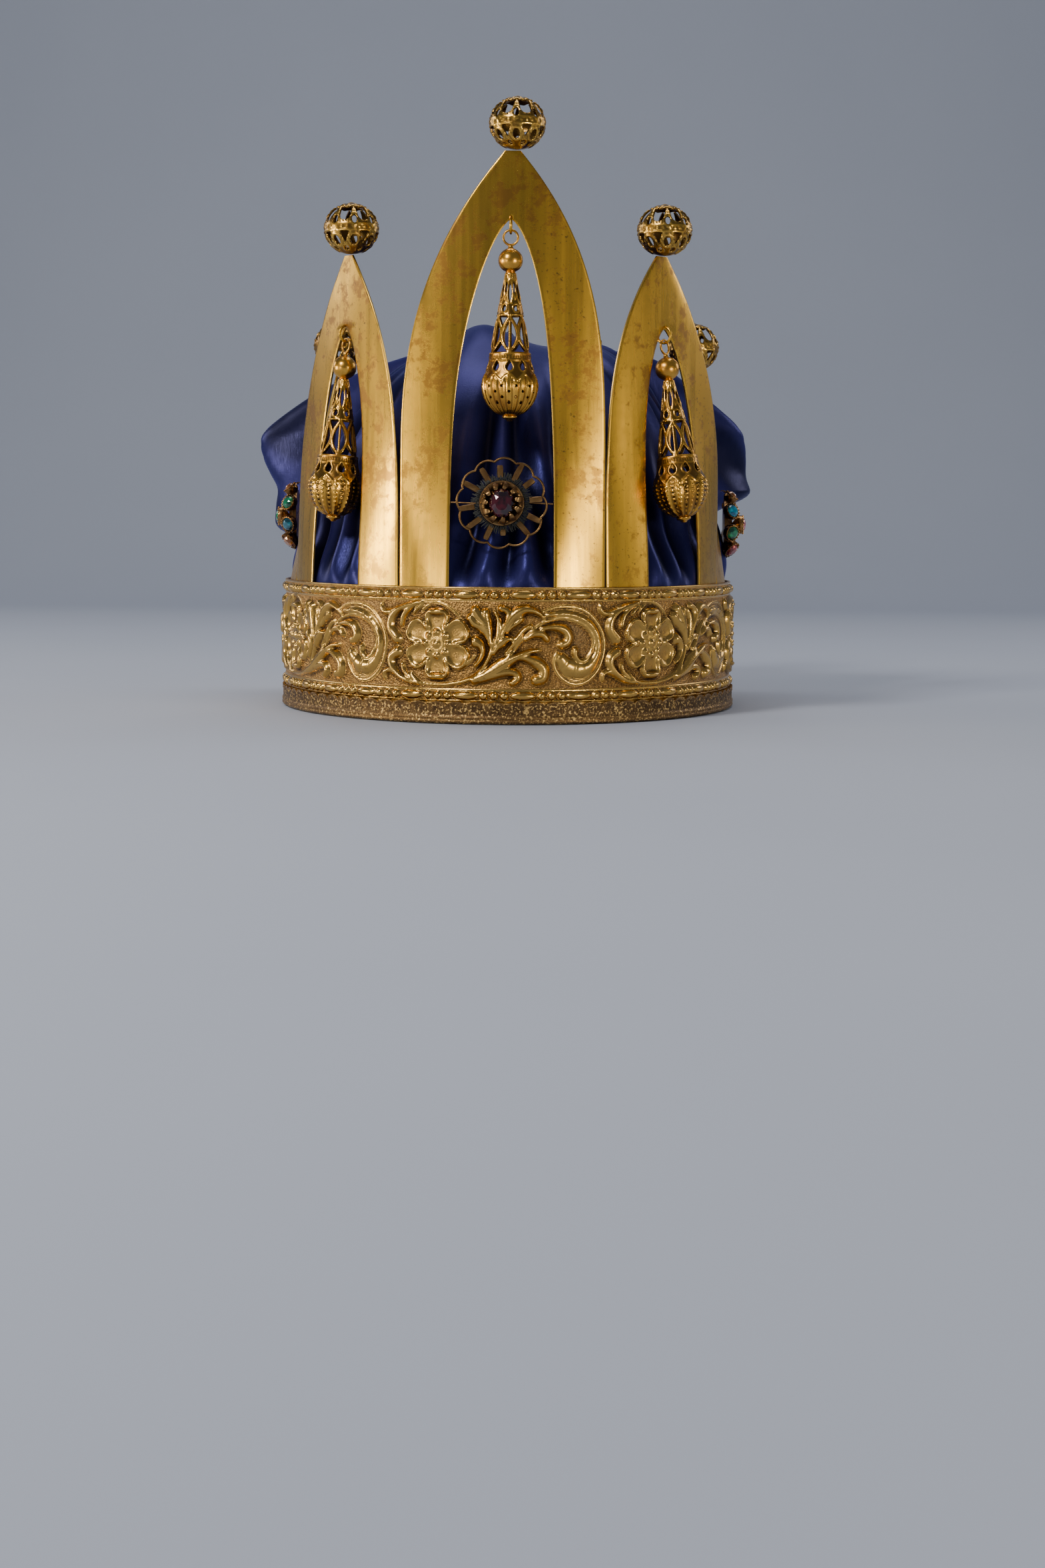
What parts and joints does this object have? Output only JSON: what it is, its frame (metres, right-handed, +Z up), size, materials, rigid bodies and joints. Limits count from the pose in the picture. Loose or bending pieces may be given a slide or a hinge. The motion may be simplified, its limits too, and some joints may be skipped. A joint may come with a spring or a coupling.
{
  "type": "ceremonial crown",
  "caption": "Ceremonial crown: a stamped band under pointed sheet arches with pierced balls and drops, over a puffed satin cap, with stone brooches.",
  "frame": {"origin": "middle of the band's oval, on the flat the rim stands on", "axes": "+Z up, -Y to the front of the crown, +X to the right in the picture"},
  "size_m": [0.1926, 0.2067, 0.204],
  "materials": {
    "stamped_brass": "stamped, coppery brown, worn bright on the high parts",
    "sheet_brass": "brushed, yellow, with brown tarnish",
    "gilt_filigree": "polished gilt",
    "aged_bronze": "dark, rubbed",
    "metal_braid": "woven metal thread",
    "blue_satin": "satin",
    "amber_glass": "cut and polished",
    "turquoise_glass": "cut and polished",
    "emerald_glass": "cut and polished",
    "sea_glass": "cut and polished",
    "ruby_glass": "cut and polished",
    "rose_glass": "cut and polished",
    "garnet_glass": "cut and polished"
  },
  "bodies": {
    "crown": {"band": "stamped_brass", "rim_braid": "metal_braid", "arch_front": "sheet_brass", "arch_shoulder_right": "sheet_brass", "arch_shoulder_left": "sheet_brass", "arch_side_right": "sheet_brass", "arch_side_left": "sheet_brass", "arch_rear_right": "sheet_brass", "arch_rear_left": "sheet_brass", "finial_front": "gilt_filigree", "finial_shoulder_right": "gilt_filigree", "finial_shoulder_left": "gilt_filigree", "finial_side_right": "gilt_filigree", "finial_side_left": "gilt_filigree", "finial_rear_right": "gilt_filigree", "finial_rear_left": "gilt_filigree", "rosette_brooch": "aged_bronze", "rosette_stone": "garnet_glass", "holding_wire": "aged_bronze", "cluster_brooch_right": "gilt_filigree", "stone_right_top": "amber_glass", "stone_right_upper_front": "turquoise_glass", "stone_right_lower_front": "emerald_glass", "stone_right_bottom_front": "ruby_glass", "stone_right_bottom_back": "emerald_glass", "stone_right_lower_back": "emerald_glass", "stone_right_upper_back": "emerald_glass", "stone_right_middle": "rose_glass", "cluster_brooch_left": "gilt_filigree", "stone_left_top": "amber_glass", "stone_left_upper_front": "emerald_glass", "stone_left_lower_front": "sea_glass", "stone_left_bottom_front": "amber_glass", "stone_left_bottom_back": "emerald_glass", "stone_left_lower_back": "ruby_glass", "stone_left_upper_back": "emerald_glass", "stone_left_middle": "emerald_glass", "satin_cap": "blue_satin"},
    "front_drop": {"drop_front": "gilt_filigree"},
    "right_shoulder_drop": {"drop_shoulder_right": "gilt_filigree"},
    "left_shoulder_drop": {"drop_shoulder_left": "gilt_filigree"}
  },
  "joints": [
    {"name": "front_drop_swing", "type": "hinge", "parent": "crown", "child": "front_drop", "pos_m": [0.00064, -0.09325, 0.16145], "axis": [-0.9996, 0.0292, 0], "range_deg": [-12, 60]},
    {"name": "right_shoulder_drop_swing", "type": "hinge", "parent": "crown", "child": "right_shoulder_drop", "pos_m": [0.05251, -0.06805, 0.12795], "axis": [-0.5988, -0.8009, 0], "range_deg": [0, 60]},
    {"name": "left_shoulder_drop_swing", "type": "hinge", "parent": "crown", "child": "left_shoulder_drop", "pos_m": [-0.05501, -0.06465, 0.12795], "axis": [-0.5671, 0.8236, 0], "range_deg": [0, 60]}
  ]
}
